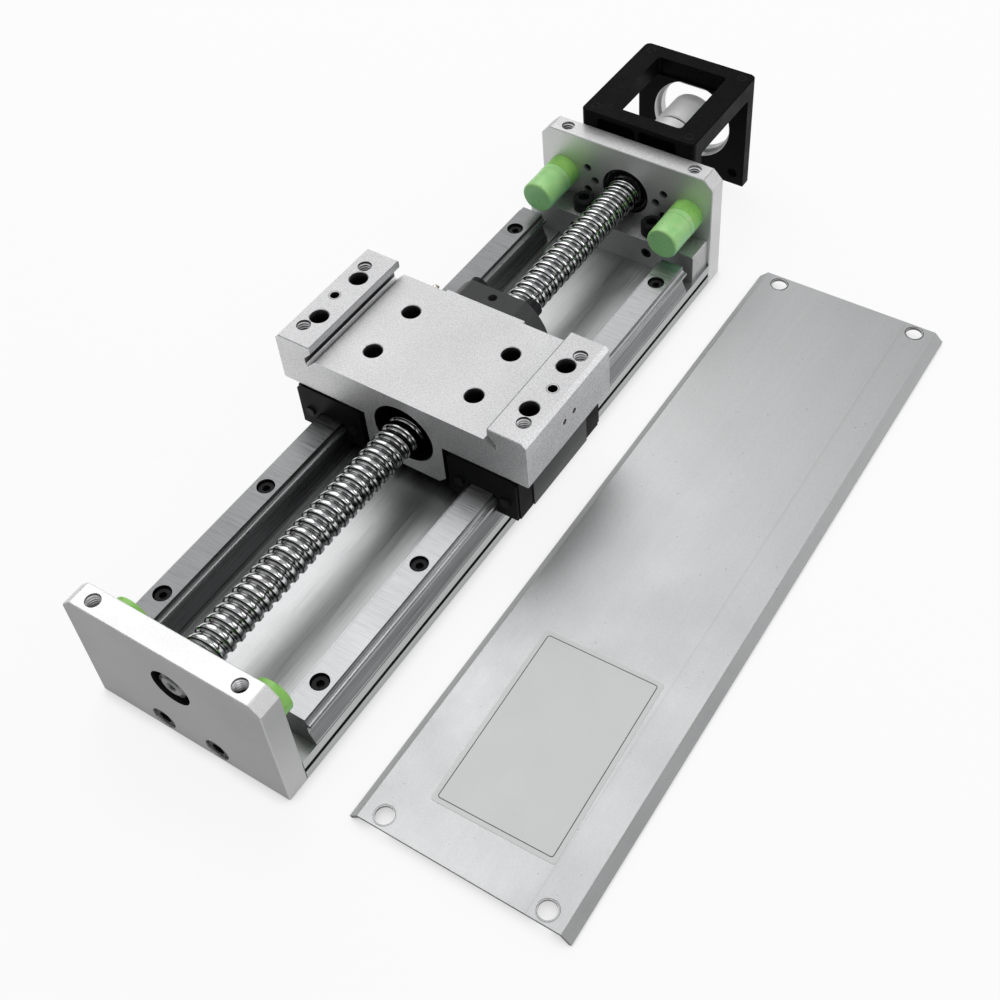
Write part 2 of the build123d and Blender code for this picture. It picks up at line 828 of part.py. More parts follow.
def guide_block(x):
    """Steel body of a guide block, with the channel for its rail and four ball grooves."""
    face = block_outline(0, block_chamfer) - offset(rail_face(), block_gap, kind=Kind.INTERSECTION)
    for groove in ball_grooves():
        face -= groove
    body = along_y(face, carriage_y - block_steel / 2, carriage_y + block_steel / 2)
    for offset_x in both_sides(block_pattern / 2):
        for offset_y in both_sides(block_pattern / 2):
            top = block_height
            y = carriage_y + offset_y
            body -= rod_z(tap(block_screw), top - block_hole_depth, top, offset_x, y)
    for offset_x in both_sides(cap_screw_span / 2):
        for end in both_sides(block_steel / 2):
            inner = end * (1 - 2 * cap_screw_bite / block_steel)
            y_from, y_to = sorted((carriage_y + end, carriage_y + inner))
            body -= rod_y(cap_screw_shank / 2 + thread_gap, y_from, y_to, offset_x, cap_screw_height)
    return Pos(x, 0, seat_height) * body


def guide_balls(x):
    """Four loaded ball rows of a guide block, each drawn as one round bar of the balls' width."""
    row = rod_y(guide_ball / 2, carriage_y - guide_row_length / 2, carriage_y + guide_row_length / 2, 0, 0)
    return group([Pos(x + side, 0, seat_height + z) * row for side, z in ball_places()])


def drilled(face):
    """A guide block's end profile with the holes for its two small screws."""
    for offset_x in both_sides(cap_screw_span / 2):
        face -= Pos(offset_x, cap_screw_height) * Circle(cap_screw_shank / 2 + thread_gap)
    return face


def end_pair(face, start, thickness):
    """The same profile at both ends of the guide blocks, from a distance off their middle."""
    rear = along_y(face, carriage_y + start, carriage_y + start + thickness)
    front = along_y(face, carriage_y - start - thickness, carriage_y - start)
    return front, rear


def end_caps(x):
    """Plastic caps on both ends of a guide block."""
    face = block_outline(cap_inset, cap_chamfer) - offset(rail_face(), block_gap, kind=Kind.INTERSECTION)
    pair = end_pair(drilled(face), block_steel / 2, cap_length)
    return group([Pos(x, 0, seat_height) * cap for cap in pair])


def end_seals(x):
    """Thin seals outside the end caps, close around the rail."""
    channel = offset(rail_face(), seal_gap, kind=Kind.INTERSECTION)
    face = drilled(block_outline(2 * cap_inset, cap_chamfer) - channel)
    pair = end_pair(face, block_steel / 2 + cap_length, block_seal)
    return group([Pos(x, 0, seat_height) * seal for seal in pair])


def cap_screws():
    """Small round-headed screws that hold caps and seals on the guide blocks."""
    screws = []
    end = block_length / 2
    for rail_side in both_sides(rail_x):
        for offset_x in both_sides(cap_screw_span / 2):
            x, z = rail_side + offset_x, seat_height + cap_screw_height
            for side in (-1, 1):
                tip = carriage_y + side * (block_steel / 2 - cap_screw_bite)
                seat = carriage_y + side * end
                head = seat + side * cap_screw_rise
                shank = rod_y(cap_screw_shank / 2, min(tip, seat), max(tip, seat), x, z)
                screws.append(shank + rod_y(cap_screw_head / 2, min(seat, head), max(seat, head), x, z))
    return group(screws)


def grease_nipple():
    """Grease nipple in the rear face of the carriage plate."""
    back = carriage_y + carriage_length / 2
    hex_end = back + nipple_hex_length
    body = rod_y(nipple_thread / 2, back - nipple_thread_length + ball_gap, back, nipple_x, nipple_z)
    hexagon = Pos(nipple_x, nipple_z) * RegularPolygon(nipple_hex / 2, 6, major_radius=False)
    body += along_y(hexagon, back, hex_end)
    neck = nipple_tip / 2
    body += rod_y(neck * 0.7, hex_end, hex_end + nipple_tip_length, nipple_x, nipple_z)
    return body + Pos(nipple_x, hex_end + nipple_tip_length - neck, nipple_z) * Sphere(neck)


def flange_screw_places():
    """Places of the four screws that hold the ball nut's flange."""
    radius = flange_circle / 2
    angles = [radians(quarter + flange_screw_angle) for quarter in (0, 90, 180, 270)]
    return [(radius * cos(angle), screw_height + radius * sin(angle)) for angle in angles]


def ball_nut():
    """Ball nut with its flange cut flat above and below."""
    body = rod_y(nut_body / 2, nut_front, flange_front)
    flange = Circle(flange_diameter / 2) & Rectangle(flange_diameter, flange_flat)
    body += Pos(0, 0, screw_height) * along_y(flange, flange_front, flange_back)
    body -= rod_y(screw_diameter / 2 + running_gap, nut_front, flange_back)
    seat = wiper_outer / 2 + ring_fit
    body -= rod_y(seat, nut_front + wiper_inset, nut_front + wiper_inset + wiper_length)
    body -= rod_y(seat, flange_back - wiper_inset - wiper_length, flange_back)
    for x, z in flange_screw_places():
        body -= rod_y(flange_hole / 2, flange_front, flange_back, x, z)
    for x in both_sides(flange_circle / 2):
        body -= rod_y(flange_hole / 2, flange_front, flange_back, x)
    top = screw_height + flange_flat / 2
    return body - rod_z(oil_hole / 2, top - oil_hole_depth, top, 0, (flange_front + flange_back) / 2)


def nut_wipers():
    """Wiper rings in both ends of the ball nut."""
    bore = screw_diameter + 2 * wiper_clear
    front = nut_front + wiper_inset
    back = flange_back - wiper_inset
    rings = [ring_y(wiper_outer, bore, front, front + wiper_length)]
    rings.append(ring_y(wiper_outer, bore, back - wiper_length, back))
    return group(rings)


def nut_screws():
    """Socket screws from the flange's rear face into the carriage plate and its housing."""
    screw = facing_back * socket_screw(flange_screw, flange_screw_length)
    return group([Pos(x, flange_back, z) * screw for x, z in flange_screw_places()])


def cover_plate():
    """Sheet cover with splayed edges and four screw holes, lying beside the table."""
    flat = cover_flat / 2
    lean = cover_thickness / 2 ** 0.5
    top = cover_flange + lean
    inner = flat - cover_thickness * (2 ** 0.5 - 1)
    face = outline(
        (-flat - cover_flange, lean),
        (-flat, top),
        (flat, top),
        (flat + cover_flange, lean),
        (flat + cover_flange - lean, 0),
        (inner, top - cover_thickness),
        (-inner, top - cover_thickness),
        (-flat - cover_flange + lean, 0),
    )
    cover_length = 2 * half_table
    body = along_y(face, 0, cover_length)
    for x in both_sides(cover_tap_span / 2):
        for y in (plate_thickness / 2, cover_length - plate_thickness / 2):
            body -= rod_z(cover_hole / 2, 0, top, x, y)
    return Pos(cover_x, cover_y - half_table, 0) * Rot(0, 0, cover_turn) * body


def save(**nodes):
    """Write each node to its own file."""
    os.makedirs("parts", exist_ok=True)
    for name, shape in nodes.items():
        export_step(group([shape]), f"parts/{name}.step")


front_rings = bearing_rings(front_ring, front_journal, front_ring_width, [-half_base - front_ring_width])
rear_starts = [rear_ring_start, rear_ring_start + rear_ring_width]
rear_rings = bearing_rings(rear_ring, rear_journal, rear_ring_width, rear_starts)
front_seals = bearing_seals(front_ring, front_journal, front_ring_width, [-half_base - front_ring_width])
rear_seals = bearing_seals(rear_ring, rear_journal, rear_ring_width, rear_starts)

save(
    base_extrusion=base_extrusion(),
    rail_left=rail(-rail_x),
    rail_right=rail(rail_x),
    rail_screws=rail_screws(),
    front_plate=front_plate(),
    rear_plate=rear_plate(),
    front_plate_screws=plate_screws(-1, plate_screw_span),
    rear_plate_screws=plate_screws(1, rear_screw_span),
    bumpers_front=bumpers_at(-half_base, -1),
    bumpers_rear=bumpers_at(half_base, 1),
    bumper_tips=bumper_tips(),
    support_block=support_block(),
    support_block_screws=support_block_screws(),
    support_block_grub_screws=support_block_grub_screws(),
    front_bearing_outer_ring=front_rings[0],
    front_bearing_inner_ring=front_rings[1],
    front_bearing_balls=front_rings[2],
    front_bearing_seals=front_seals,
    rear_bearing_outer_rings=rear_rings[0],
    rear_bearing_inner_rings=rear_rings[1],
    rear_bearing_balls=rear_rings[2],
    rear_bearing_seals=rear_seals,
    rear_retaining_ring=rear_retaining_ring(),
    ball_screw=ball_screw(),
    lock_nut=lock_nut(),
    coupling_hub_screw_side=coupling_hub(coupling_y, 1, shaft_end),
    coupling_hub_motor_side=coupling_hub(coupling_y + hub_length + hub_gap, -1, motor_shaft),
    coupling_spider=coupling_spider(),
    coupling_clamp_screws=coupling_clamp_screws(),
    motor_bracket=motor_bracket(),
    bracket_screws=bracket_screws(),
    carriage_plate=carriage_plate(),
    carriage_screws=carriage_screws(),
    guide_block_left=guide_block(-rail_x),
    guide_block_right=guide_block(rail_x),
    guide_balls_left=guide_balls(-rail_x),
    guide_balls_right=guide_balls(rail_x),
    end_caps_left=end_caps(-rail_x),
    end_caps_right=end_caps(rail_x),
    end_seals_left=end_seals(-rail_x),
    end_seals_right=end_seals(rail_x),
    cap_screws=cap_screws(),
    grease_nipple=grease_nipple(),
    ball_nut=ball_nut(),
    nut_wipers=nut_wipers(),
    nut_screws=nut_screws(),
    cover_plate=cover_plate(),
)
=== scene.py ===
import math

import bpy
from mathutils import Matrix, Vector


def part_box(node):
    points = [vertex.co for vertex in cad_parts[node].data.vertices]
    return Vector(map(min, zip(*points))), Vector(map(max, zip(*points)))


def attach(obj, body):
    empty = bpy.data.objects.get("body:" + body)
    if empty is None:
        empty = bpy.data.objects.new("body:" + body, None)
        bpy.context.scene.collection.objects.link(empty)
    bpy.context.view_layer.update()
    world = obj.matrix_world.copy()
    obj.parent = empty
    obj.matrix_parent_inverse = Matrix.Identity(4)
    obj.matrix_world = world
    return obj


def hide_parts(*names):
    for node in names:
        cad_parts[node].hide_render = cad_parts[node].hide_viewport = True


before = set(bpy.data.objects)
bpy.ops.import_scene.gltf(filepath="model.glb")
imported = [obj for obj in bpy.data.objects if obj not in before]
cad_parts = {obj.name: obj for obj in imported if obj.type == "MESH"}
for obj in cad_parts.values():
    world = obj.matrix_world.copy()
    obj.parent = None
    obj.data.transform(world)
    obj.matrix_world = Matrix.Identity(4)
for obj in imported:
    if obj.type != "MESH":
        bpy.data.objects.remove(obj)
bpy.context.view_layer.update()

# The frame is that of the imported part: X across the table, Y along it towards the motor end,
# Z up, with the origin on the underside of the base. Blender works in metres. Lengths of the
# object are written in millimetres and multiplied by MM.
MM = 0.001
FULL_TURN = 2 * math.pi


# Camera and light; places and sizes here are in metres

IMAGE = 1000
FOCAL = 1444.0
CENTRE_U = 560.7
CENTRE_V = 430.4
CAMERA_PLACE = Vector((0.26945, -0.30592, 0.46149))
CAMERA_AIM = Vector((0.03427, 0.03650, 0.0))
CAMERA_ROLL = -3.23
CAMERA_NEAR = 0.01
CAMERA_FAR = 20.0
SENSOR = 36.0

TABLE_MIDDLE = (0.02, 0.03, 0.03)
COVER_FRONT = (0.08, -0.14, 0.0)
# Name of a lamp: its place, aim, side and power in watts
LAMPS = {
    "key": ((-0.70, 0.60, 1.05), TABLE_MIDDLE, 1.2, 6.2),
    "fill": ((0.9, -0.3, 0.9), TABLE_MIDDLE, 0.6, 1.4),
    "over": ((-0.24, 0.24, 1.16), COVER_FRONT, 0.4, 1.3),
    "side": ((0.80, 0.67, 0.59), TABLE_MIDDLE, 0.5, 1.8),
}

# Greys of the world by height above the horizon, as ramp stops; metal reflects them
HORIZON = 1.12
SKY_STRENGTH = 0.85
SKY_BLUE = 1.01
SKY = ((0.0, HORIZON), (1.0, 0.66), (0.05, HORIZON), (0.07, 0.05), (0.28, 0.06), (0.42, 0.60),
       (0.52, 0.20), (0.66, 0.30), (0.78, 0.78))

FLOOR_HALF = 3.0
FLOOR_DROP = 0.0002
FLOOR_WHITE = (0.9, 0.9, 0.9)
FLOOR_GLOW = 0.88
FLOOR_SHADE = 0.5
FLOOR_SHADE_REACH = 6.0 * MM


class Nodes:
    """A node tree and short ways to add to it."""

    def __init__(self, tree):
        self.tree = tree

    def node(self, kind):
        return self.tree.nodes.new(kind)

    def link(self, out, into):
        self.tree.links.new(out, into)

    def feed(self, value, socket):
        """Give a socket a number, a colour or another node's output."""
        if isinstance(value, (int, float)):
            socket.default_value = value
        elif isinstance(value, (tuple, list)):
            socket.default_value = (*value, 1.0)
        else:
            self.link(value, socket)

    def math(self, operation, one, two=0.0):
        node = self.node("ShaderNodeMath")
        node.operation = operation
        self.feed(one, node.inputs[0])
        self.feed(two, node.inputs[1])
        return node.outputs[0]

    def parts(self, vector):
        """X, Y and Z of a vector, by their letters."""
        node = self.node("ShaderNodeSeparateXYZ")
        self.link(vector, node.inputs[0])
        return node.outputs

    def mixed(self, factor, one, two, how="MIX"):
        """Colour mixed from two; each is a colour or an output."""
        node = self.node("ShaderNodeMix")
        node.data_type = "RGBA"
        node.blend_type = how
        self.feed(factor, node.inputs["Factor"])
        self.feed(one, node.inputs[6])
        self.feed(two, node.inputs[7])
        return node.outputs[2]

    def ramp(self, value, stops, blue=1.0):
        """Grey that follows (place, grey) stops, the ramp's two ends first."""
        node = self.node("ShaderNodeValToRGB")
        self.link(value, node.inputs[0])
        elements = node.color_ramp.elements
        for number, (place, grey) in enumerate(stops):
            stop = elements[number] if number < 2 else elements.new(place)
            stop.position = place
            stop.color = (grey, grey, grey * blue, 1.0)
        return node.outputs[0]


def link_object(obj):
    """Put a new object into the scene."""
    bpy.context.scene.collection.objects.link(obj)
    return obj


def add_camera():
    """Camera at the photograph's viewing angle."""
    data = bpy.data.cameras.new("camera")
    data.sensor_width = SENSOR
    data.lens = FOCAL / IMAGE * SENSOR
    data.shift_x = (IMAGE / 2 - CENTRE_U) / IMAGE
    data.shift_y = (CENTRE_V - IMAGE / 2) / IMAGE
    data.clip_start = CAMERA_NEAR
    data.clip_end = CAMERA_FAR
    camera = link_object(bpy.data.objects.new("camera", data))
    turn = (CAMERA_AIM - CAMERA_PLACE).to_track_quat("-Z", "Y").to_matrix().to_4x4()
    roll = Matrix.Rotation(math.radians(CAMERA_ROLL), 4, "Z")
    camera.matrix_world = Matrix.Translation(CAMERA_PLACE) @ turn @ roll
    bpy.context.scene.camera = camera


def add_lamps():
    """Broad soft key from behind on the left, and three weaker lamps, all square."""
    for name, (place, aim, size, power) in LAMPS.items():
        data = bpy.data.lights.new(name, "AREA")
        data.size = size
        data.energy = power
        lamp = link_object(bpy.data.objects.new(name, data))
        lamp.location = place
        turn = (Vector(aim) - Vector(place)).to_track_quat("-Z", "Y")
        lamp.rotation_euler = turn.to_euler()


def add_world():
    """World that is white to the camera and through glass, and the sky's greys to all else."""
    world = bpy.data.worlds.new("world")
    world.use_nodes = True
    bpy.context.scene.world = world
    sky = Nodes(world.node_tree)
    up = sky.parts(sky.node("ShaderNodeTexCoord").outputs["Generated"])["Z"]
    greys = sky.ramp(up, SKY, SKY_BLUE)
    ray = sky.node("ShaderNodeLightPath").outputs
    seen = sky.math("MAXIMUM", ray["Is Camera Ray"], ray["Is Transmission Ray"])
    back = sky.tree.nodes["Background"].inputs
    sky.link(sky.mixed(seen, greys, (HORIZON, HORIZON, HORIZON)), back["Color"])
    back["Strength"].default_value = SKY_STRENGTH


def add_floor():
    """Plain white floor that keeps the object's shadow, with a painted contact shadow near the
    object, and shows white to the camera.
    """
    mesh = bpy.data.meshes.new("floor")
    signs = ((-1, -1), (1, -1), (1, 1), (-1, 1))
    mesh.from_pydata([(x * FLOOR_HALF, y * FLOOR_HALF, 0.0) for x, y in signs], [], [(0, 1, 2, 3)])
    floor = link_object(bpy.data.objects.new("floor", mesh))
    floor.location.z = -FLOOR_DROP
    paint = Paint("floor_white")
    paint.set(base=FLOOR_WHITE, rough=0.9)
    glow = paint.node("ShaderNodeEmission")
    glow.inputs["Color"].default_value = (1.0, 1.0, 1.0, 1.0)
    ray = paint.node("ShaderNodeLightPath").outputs
    seen = paint.math("MAXIMUM", ray["Is Camera Ray"], ray["Is Glossy Ray"])
    seen = paint.math("MAXIMUM", seen, ray["Is Transmission Ray"])
    # Painted contact shadow: less glow where the floor is occluded
    painted_contact_shadow = paint.cavity_shade(FLOOR_SHADE, reach=FLOOR_SHADE_REACH, start=0.35, end=0.9)
    share = paint.math("MULTIPLY", paint.math("MULTIPLY", seen, painted_contact_shadow), FLOOR_GLOW)
    mix = paint.node("ShaderNodeMixShader")
    paint.link(share, mix.inputs[0])
    paint.link(paint.bsdf.outputs[0], mix.inputs[1])
    paint.link(glow.outputs[0], mix.inputs[2])
    paint.link(mix.outputs[0], paint.output.inputs["Surface"])
    mesh.materials.append(paint.material)


# Places on the object that the materials and the pieces share

SCREW_HEIGHT = 37.0
SCREW_CREST = 7.74
GROOVE_DEPTH = 0.95
FRONT_BORE_RADIUS = 8.62
HOUSING_RADIUS = 14.3
PLATE_THREAD_TOP = 59.2
STRIP_THREAD_TOP = 63.6
STRIP_EDGE = 42.4
STRIP_EDGE_WIDTH = 0.35
STRIP_LEVEL = 63.5
CARRIAGE_Y = 5.9
COVER_TAP_X = 33.2
COVER_TAP_Y = 155.0
COVER_HALF_LENGTH = 160.0
FIXTURE_TAP_X = 52.7
FIXTURE_TAP_Y = 20.25
COVER_PLACE = (112.1, -153.5)
COVER_TURN = math.radians(0.5)
COVER_LINE = 27.5
BRACKET_MIDDLE = 191.0
EJECTOR_X = 24.3
EJECTOR_Y = 25.6
EJECTOR_RADIUS = 1.9
PILOT_RADIUS = 20.6
PILOT_START = 213.9


# Materials

# Parts of the surface's direction by which faces are told apart
UPRIGHT_BELOW = 0.5
SLANTED = 0.7
LEVEL_ABOVE = 0.9
FRONT_BELOW = -0.9

OCCLUSION_SAMPLES = 8
# Painted shade: the grey of holes, narrow corners and bore walls
PAINTED_SHADE_BLACK = 0.03
JOURNAL_RING = 0.9 * MM
PILOT_METAL = (0.55, 0.55, 0.555)
# Painted highlights and shade on the screw's surface, from the groove's bottom at 0 to the crest at
# 1
FLANK_PAINTED_LIGHT = ((0.0, 0.10), (1.0, 1.0), (0.02, 0.12), (0.05, 0.75), (0.36, 0.45), (0.58, 0.03),
               (0.88, 0.03), (0.94, 1.0))


def scaled(colour, factor):
    """Colour made lighter or darker, up to white."""
    return [min(1.0, part * factor) for part in colour]


class Paint(Nodes):
    """A material with its Principled shader and the marks that the makers share."""

    def __init__(self, name):
        self.material = bpy.data.materials.new(name)
        self.material.use_nodes = True
        super().__init__(self.material.node_tree)
        self.bsdf = self.tree.nodes["Principled BSDF"]
        self.output = self.tree.nodes["Material Output"]
        self.place = self.node("ShaderNodeTexCoord").outputs["Object"]
        self.tone = None
        self.relief = None

    def set(self, base=None, metal=0.0, rough=0.5, **more):
        """Uniform values on the shader's own sockets."""
        if base:
            self.bsdf.inputs["Base Color"].default_value = (*base, 1.0)
        self.bsdf.inputs["Metallic"].default_value = metal
        self.bsdf.inputs["Roughness"].default_value = rough
        for name, value in more.items():
            self.bsdf.inputs[name.replace("_", " ")].default_value = value

    def noise(self, scale, detail=3.0, rough=0.5, stretch=None):
        """Noise of so many cells per metre, its coordinates multiplied by stretch."""
        node = self.node("ShaderNodeTexNoise")
        place = self.place
        if stretch:
            longer = self.node("ShaderNodeVectorMath")
            longer.operation = "MULTIPLY"
            self.link(place, longer.inputs[0])
            longer.inputs[1].default_value = stretch
            place = longer.outputs[0]
        self.link(place, node.inputs["Vector"])
        node.inputs["Scale"].default_value = scale
        node.inputs["Detail"].default_value = detail
        node.inputs["Roughness"].default_value = rough
        return node.outputs["Fac"]

    def span(self, value, low, high, start=0.3, end=0.7):
        """A value between start and end turned into the range from low to high."""
        node = self.node("ShaderNodeMapRange")
        self.link(value, node.inputs["Value"])
        node.inputs["From Min"].default_value = start
        node.inputs["From Max"].default_value = end
        node.inputs["To Min"].default_value = low
        node.inputs["To Max"].default_value = high
        return node.outputs[0]

    def choice(self, mask, off, on):
        """One number where the mask is 0, and another where it is 1."""
        return self.span(mask, off, on, 0.0, 1.0)

    def blend(self, value, one, two, start=0.3, end=0.7):
        """Colour between two, by a value."""
        return self.mixed(self.span(value, 0.0, 1.0, start, end), one, two)

    def multiply(self, colour, grey):
        """Colour multiplied by a grey value."""
        return self.mixed(1.0, colour, grey, "MULTIPLY")

    def darken(self, colour, value, low):
        """Colour multiplied by a grey that runs from low to 1 with the value."""
        return self.multiply(colour, self.span(value, low, 1.0))

    def cavity_shade(self, low, reach=12.0 * MM, start=0.05, end=0.55):
        """Painted shade: a grey that falls to low in holes and narrow corners and is 1 on open
        faces.
        """
        node = self.node("ShaderNodeAmbientOcclusion")
        node.samples = OCCLUSION_SAMPLES
        node.inputs["Distance"].default_value = reach
        return self.span(node.outputs["AO"], low, 1.0, start, end)

    def normal(self):
        """X, Y and Z of the surface's direction."""
        return self.parts(self.node("ShaderNodeNewGeometry").outputs["Normal"])

    def length(self, across, along):
        """Length of a flat vector."""
        squares = self.math("ADD", self.math("MULTIPLY", across, across),
                            self.math("MULTIPLY", along, along))
        return self.math("SQRT", squares)

    def distance(self, value, target):
        """How far a value is from a target, either way."""
        return self.math("ABSOLUTE", self.math("SUBTRACT", value, target))

    def beyond(self, value, target):
        """How far a value's size is above a target, below 0 inside it."""
        return self.math("SUBTRACT", self.math("ABSOLUTE", value), target)

    def axis_radius(self):
        """Distance from the ball screw's axis."""
        place = self.parts(self.place)
        return self.length(place["X"], self.math("SUBTRACT", place["Z"], SCREW_HEIGHT * MM))

    def colour(self, out):
        self.link(out, self.bsdf.inputs["Base Color"])

    def gloss(self, value, low, high, start=0.3, end=0.7):
        """Roughness between two, by a value."""
        self.link(self.span(value, low, high, start, end), self.bsdf.inputs["Roughness"])

    def bump(self, value, height, strength=1.0):
        """Surface relief, on top of any that was set before; height in millimetres."""
        node = self.node("ShaderNodeBump")
        node.inputs["Distance"].default_value = height * MM
        node.inputs["Strength"].default_value = strength
        self.link(value, node.inputs["Height"])
        if self.relief:
            self.link(self.relief, node.inputs["Normal"])
        self.relief = node.outputs[0]
        self.link(self.relief, self.bsdf.inputs["Normal"])


def blasted(name, base, rough, grit=0.24, sides=1.0, front=1.0, bore=0.0):
    """Bead-blasted aluminium: fine grain, cloudy tone, painted shade in holes and inside the bore.

    The tones sides and front are painted light and shade on upright faces and on those that look to
    the front.
    """
    paint = Paint(name)
    paint.set(metal=0.85, rough=rough)
    fine = paint.noise(2000.0, detail=2.0)
    tone = paint.blend(fine, scaled(base, 1 - grit), scaled(base, 1 + grit))
    tone = paint.darken(tone, paint.noise(28.0, detail=4.0), 0.88)
    normal = paint.normal()
    # Painted light and shade: upright faces and faces that look to the front made lighter or darker
    upright = paint.math("LESS_THAN", normal["Z"], UPRIGHT_BELOW)
    facing = paint.math("LESS_THAN", normal["Y"], FRONT_BELOW)
    tone = paint.multiply(tone, paint.choice(upright, 1.0, sides))
    tone = paint.multiply(tone, paint.choice(facing, 1.0, front))
    # Painted shade: near black inside the bore, and darker in holes and narrow corners
    outside = paint.math("GREATER_THAN", paint.axis_radius(), bore * MM)
    paint.tone = paint.multiply(tone, paint.choice(outside, PAINTED_SHADE_BLACK, 1.0))
    paint.colour(paint.multiply(paint.tone, paint.cavity_shade(PAINTED_SHADE_BLACK, end=0.35)))
    paint.gloss(fine, rough - 0.05, rough + 0.08)
    paint.bump(fine, 0.05, 0.35)
    return paint


def carriage_metal(name, base, rough):
    """Blasted metal with painted highlights on slanted faces, painted shade on hole walls and a
    thin dark line along each strip.
    """
    # Painted light on upright faces and painted shade on front faces; painted shade inside the nut
    # housing's bore
    paint = blasted(name, base, rough, sides=1.42, front=0.93, bore=HOUSING_RADIUS)
    place = paint.parts(paint.place)
    off = paint.beyond(place["X"], STRIP_EDGE * MM)
    inner = paint.math("LESS_THAN", off, STRIP_EDGE_WIDTH * MM)
    high = paint.math("GREATER_THAN", place["Z"], STRIP_LEVEL * MM)
    tone = paint.multiply(paint.tone, paint.choice(paint.math("MULTIPLY", inner, high), 1.0, 0.35))
    # Painted highlight on slanted faces, which the painted shade leaves light
    up = paint.normal()["Z"]
    slant = paint.distance(up, SLANTED)
    tone = paint.multiply(tone, paint.span(slant, 1.5, 1.0, 0.1, 0.2))
    # Painted shade: hole walls near black
    upright = paint.math("LESS_THAN", up, UPRIGHT_BELOW)
    apart = paint.math("GREATER_THAN", paint.math("ABSOLUTE", off), STRIP_EDGE_WIDTH * MM)
    open_face = paint.math("SUBTRACT", 1.0, paint.math("MULTIPLY", upright, apart))
    deep = paint.math("MAXIMUM", paint.cavity_shade(PAINTED_SHADE_BLACK, start=0.3, end=0.75), open_face)
    shade = paint.math("MINIMUM", paint.cavity_shade(PAINTED_SHADE_BLACK, end=0.35), deep)
    shade = paint.math("MAXIMUM", shade, paint.span(slant, 0.9, 0.0, 0.1, 0.2))
    paint.colour(paint.multiply(tone, shade))
    return paint


def streaked(name, base, rough, stretch, fine=1400.0, contrast=0.12, metal=1.0):
    """Metal with fine straight marks, drawn out along the axis whose stretch is small."""
    paint = Paint(name)
    paint.set(metal=metal, rough=rough)
    marks = paint.noise(fine, detail=3.0, rough=0.6, stretch=stretch)
    tone = paint.blend(marks, scaled(base, 1 - contrast), scaled(base, 1 + contrast))
    tone = paint.darken(tone, paint.noise(40.0), 0.9)
    # Painted shade in holes and narrow corners
    paint.colour(paint.multiply(tone, paint.cavity_shade(0.10)))
    paint.gloss(marks, rough - 0.06, rough + 0.1)
    paint.bump(marks, 0.012, 0.5)
    return paint


def ground_rail(name, base, rough):
    """Ground rail steel: cross marks on the faces that look up, lengthwise marks elsewhere."""
    paint = Paint(name)
    paint.set(metal=1.0, rough=rough)
    choose = paint.node("ShaderNodeMix")
    upward = paint.math("GREATER_THAN", paint.normal()["Z"], LEVEL_ABOVE)
    paint.link(upward, choose.inputs["Factor"])
    for socket, stretch in ((2, (1.0, 0.01, 1.0)), (3, (0.05, 1.0, 1.0))):
        lines = paint.noise(1500.0, detail=3.0, rough=0.6, stretch=stretch)
        paint.link(lines, choose.inputs[socket])
    marks = choose.outputs[0]
    tone = paint.blend(marks, scaled(base, 0.78), scaled(base, 1.22))
    tone = paint.darken(tone, paint.noise(36.0), 0.88)
    # Painted shade in holes and narrow corners
    paint.colour(paint.multiply(tone, paint.cavity_shade(0.10)))
    paint.gloss(marks, rough - 0.08, rough + 0.1)
    paint.bump(marks, 0.012, 0.5)
    return paint


def moulded(name, base, rough, shine=0.05):
    """Moulded or painted surface with a fine grain and faint handling marks."""
    paint = Paint(name)
    paint.set(rough=rough, Specular_IOR_Level=shine)
    wear = paint.noise(90.0, detail=5.0, rough=0.65)
    paint.colour(paint.blend(wear, base, scaled(base, 1.7), 0.45, 0.8))
    paint.gloss(wear, rough - 0.08, rough + 0.1)
    paint.bump(paint.noise(1800.0, detail=2.0), 0.03, 0.4)
    return paint


def film(name, base, rough):
    """Printed film: even colour with the finest grain."""
    paint = Paint(name)
    paint.set(rough=rough)
    grain = paint.noise(3200.0, detail=2.0)
    paint.colour(paint.blend(grain, scaled(base, 0.97), base))
    paint.gloss(paint.noise(60.0), rough - 0.04, rough + 0.06)
    paint.bump(grain, 0.004, 0.3)
    return paint


def sheet_metal(name, base, rough):
    """Anodised sheet: fine grain, one long faint line, small dark specks, painted shade on its
    upright cut edges and in its holes.
    """
    paint = Paint(name)
    paint.set(metal=0.9, rough=rough)
    fine = paint.noise(2400.0, detail=2.0)
    lines = paint.noise(500.0, detail=2.0, stretch=(1.0, 0.01, 1.0))
    marks = paint.noise(22.0, detail=5.0, rough=0.6)
    tone = paint.blend(fine, scaled(base, 0.94), scaled(base, 1.05))
    tone = paint.darken(paint.darken(tone, lines, 0.975), marks, 0.96)
    place = paint.parts(paint.place)
    cos, sin = math.cos(COVER_TURN), math.sin(COVER_TURN)
    across = paint.math("ADD", paint.math("MULTIPLY", place["X"], cos),
                        paint.math("MULTIPLY", place["Y"], sin))
    line = COVER_PLACE[0] * cos + COVER_PLACE[1] * sin + COVER_LINE
    off = paint.distance(across, line * MM)
    tone = paint.multiply(tone, paint.span(off, 0.93, 1.0, 0.2 * MM, 0.6 * MM))
    specks = paint.noise(700.0, detail=1.0)
    tone = paint.multiply(tone, paint.span(specks, 1.0, 0.6, 0.77, 0.80))
    # Painted shade: upright cut edges darker, as shadowed walls
    level = paint.math("ABSOLUTE", paint.normal()["Z"])
    tone = paint.multiply(tone, paint.span(level, 0.22, 1.0, 0.2, 0.5))
    paint.colour(paint.multiply(tone, paint.cavity_shade(0.15)))
    paint.gloss(marks, rough - 0.05, rough + 0.06)
    paint.bump(fine, 0.03, 0.25)
    return paint


